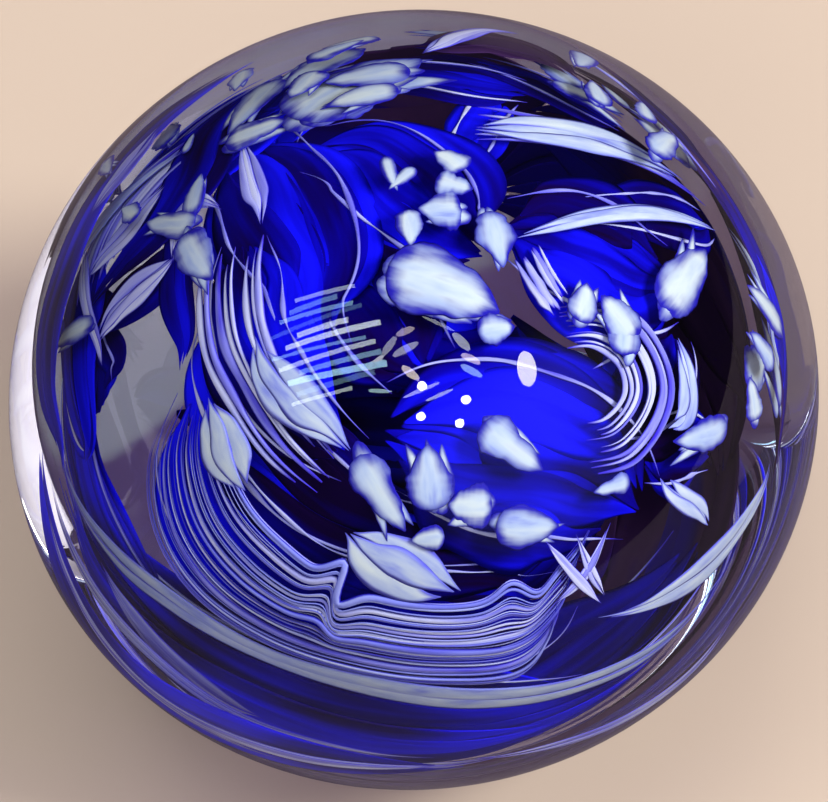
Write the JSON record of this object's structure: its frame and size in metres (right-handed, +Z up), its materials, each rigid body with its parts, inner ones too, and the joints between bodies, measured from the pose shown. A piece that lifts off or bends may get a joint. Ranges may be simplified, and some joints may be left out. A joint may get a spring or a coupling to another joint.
{
  "type": "paperweight",
  "caption": "Solid round art-glass paperweight: clear glass over swirled cobalt ribbons, white chips, threads and a combed feather, on a ground flat base.",
  "frame": {"origin": "centre of the ground flat base", "axes": "+Z up through the middle of the ball; the flattened height of the ball lies along it; +Y away from a viewer who faces the swirl's combed feather"},
  "size_m": [0.08, 0.08, 0.065],
  "materials": {
    "clear_glass": "polished clear crystal, ground flat under the foot",
    "cobalt_glass": "deep cobalt blue transparent glass",
    "opal_glass": "dense opal white glass",
    "combed_glass": "fine white lines combed through cobalt glass"
  },
  "bodies": {
    "root": {"combed_feather": "combed_glass", "white_chip_01": "opal_glass", "white_chip_02": "opal_glass", "white_chip_03": "opal_glass", "white_chip_04": "opal_glass", "white_chip_05": "opal_glass", "white_chip_06": "opal_glass", "white_chip_07": "opal_glass", "white_chip_08": "opal_glass", "white_chip_09": "opal_glass", "white_chip_10": "opal_glass", "white_chip_11": "opal_glass", "white_chip_12": "opal_glass", "white_chip_13": "opal_glass", "white_chip_14": "opal_glass", "white_chip_15": "opal_glass", "white_chip_16": "opal_glass", "white_chip_17": "opal_glass", "white_chip_18": "opal_glass", "white_strand_01": "opal_glass", "white_strand_02": "opal_glass", "white_strand_03": "opal_glass", "white_strand_04": "opal_glass", "white_strand_05": "opal_glass", "white_strand_06": "opal_glass", "white_strand_07": "opal_glass", "white_strand_08": "opal_glass", "white_strand_09": "opal_glass", "white_strand_10": "opal_glass", "white_strand_11": "opal_glass", "blue_ribbon_01": "cobalt_glass", "blue_ribbon_02": "cobalt_glass", "blue_ribbon_03": "cobalt_glass", "blue_ribbon_04": "cobalt_glass", "blue_ribbon_05": "cobalt_glass", "blue_ribbon_06": "cobalt_glass", "blue_ribbon_07": "cobalt_glass", "blue_ribbon_08": "cobalt_glass", "blue_ribbon_09": "cobalt_glass", "blue_ribbon_10": "cobalt_glass", "blue_ribbon_11": "cobalt_glass", "blue_ribbon_12": "cobalt_glass", "blue_ribbon_13": "cobalt_glass", "blue_ribbon_14": "cobalt_glass", "blue_ribbon_15": "cobalt_glass", "blue_ribbon_16": "cobalt_glass", "blue_ribbon_17": "cobalt_glass", "blue_ribbon_18": "cobalt_glass", "blue_ribbon_19": "cobalt_glass", "blue_ribbon_20": "cobalt_glass", "blue_ribbon_21": "cobalt_glass", "blue_ribbon_22": "cobalt_glass", "blue_ribbon_23": "cobalt_glass", "blue_ribbon_24": "cobalt_glass", "blue_ribbon_25": "cobalt_glass", "heart_ribbon_01": "cobalt_glass", "heart_ribbon_02": "cobalt_glass", "clear_heart": "clear_glass", "middle_gather": "clear_glass", "clear_casing": "clear_glass"}
  },
  "joints": []
}
